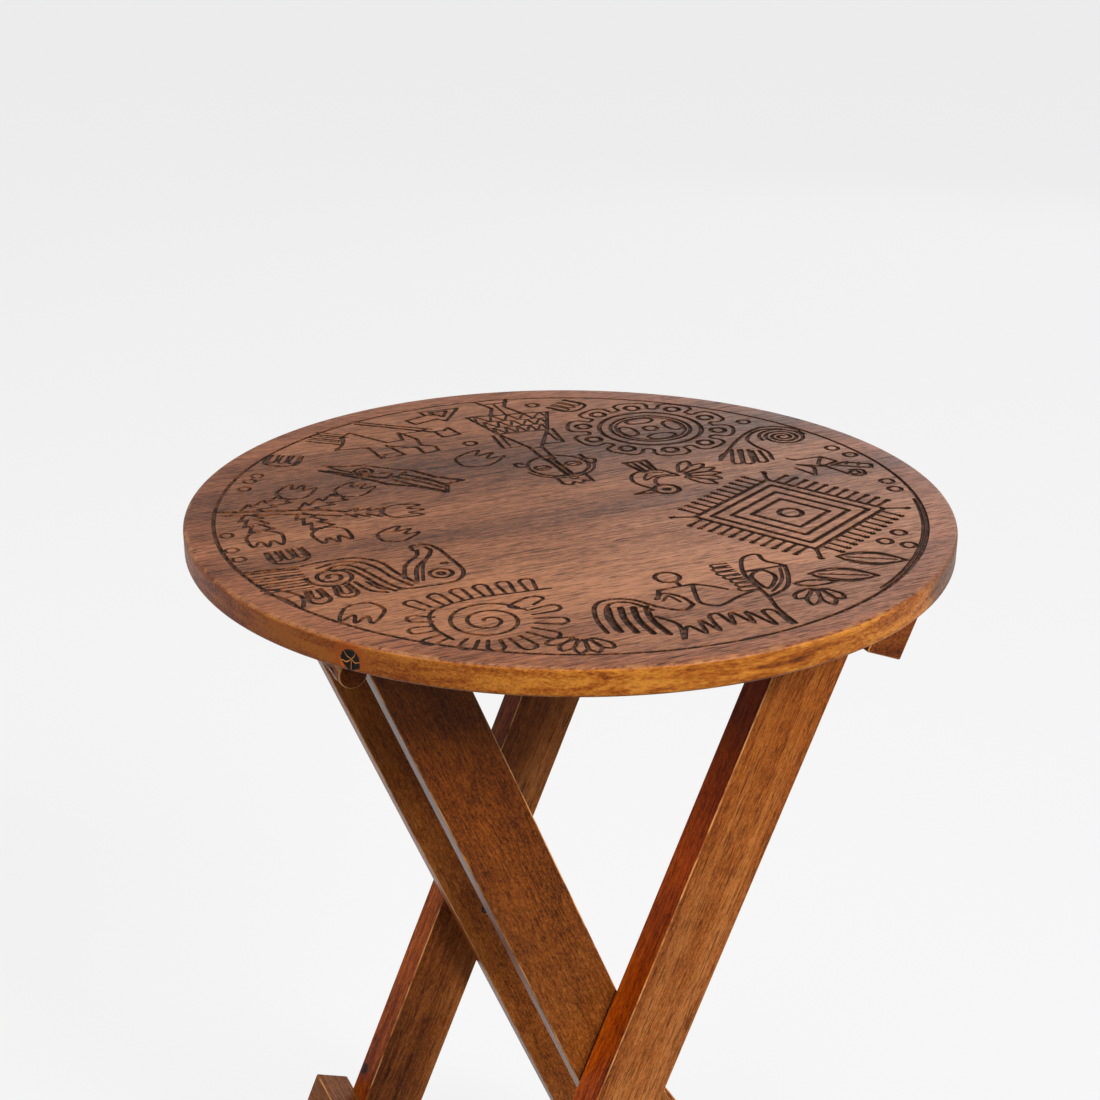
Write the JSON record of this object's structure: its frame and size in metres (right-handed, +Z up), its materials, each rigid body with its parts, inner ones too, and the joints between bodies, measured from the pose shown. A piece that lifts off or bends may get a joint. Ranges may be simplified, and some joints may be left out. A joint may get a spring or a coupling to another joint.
{
  "type": "folding side table",
  "caption": "Round wooden side table on crossed scissor legs: the legs fold flat and the hinged top swings up in line with them.",
  "frame": {"origin": "on the floor under the middle of the round top", "axes": "+Z up; +Y along the scissor pivots and the hinge rod, away from the near legs; +X towards the outer frame's upper rail and the inner frame's feet, away from the hinge rod"},
  "size_m": [0.3999, 0.4, 0.566],
  "materials": {
    "top_wood": "satin oiled hardwood with dark burnt grooves",
    "frame_wood": "satin oiled hardwood",
    "fitting_wood": "satin oiled hardwood",
    "plug_wood": "satin end grain",
    "screw_steel": "dark bronzed steel",
    "pivot_steel": "blackened steel"
  },
  "bodies": {
    "inner_frame": {"inner_leg_near": "frame_wood", "inner_leg_far": "frame_wood", "inner_lower_rail": "frame_wood", "inner_lower_rail_screws": "screw_steel", "inner_lower_rail_plugs": "plug_wood", "hinge_rod": "fitting_wood", "rod_screws": "screw_steel"},
    "outer_frame": {"outer_leg_near": "frame_wood", "outer_leg_far": "frame_wood", "outer_upper_rail": "frame_wood", "outer_upper_rail_screws": "screw_steel", "outer_upper_rail_plugs": "plug_wood", "outer_lower_rail": "frame_wood", "outer_lower_rail_screws": "screw_steel", "outer_lower_rail_plugs": "plug_wood", "pivot_screws": "pivot_steel", "pivot_washers": "screw_steel"},
    "top": {"tabletop": "top_wood", "hinge_block_near": "fitting_wood", "hinge_block_far": "fitting_wood", "hinge_block_screws": "screw_steel", "stop_cleat": "fitting_wood", "stop_cleat_screws": "screw_steel"}
  },
  "joints": [
    {"name": "leg_fold", "type": "hinge", "parent": "inner_frame", "child": "outer_frame", "pos_m": [-0.0166, 0, 0.27575], "axis": [0, -1, 0], "range_deg": [0, 44.6]},
    {"name": "top_tilt", "type": "hinge", "parent": "inner_frame", "child": "top", "pos_m": [-0.15432, 0, 0.539], "axis": [0, -1, 0], "range_deg": [0, 111.5]}
  ],
  "couplings": [
    {"joint": "top_tilt", "follows": "leg_fold", "ratio": 2.5}
  ]
}
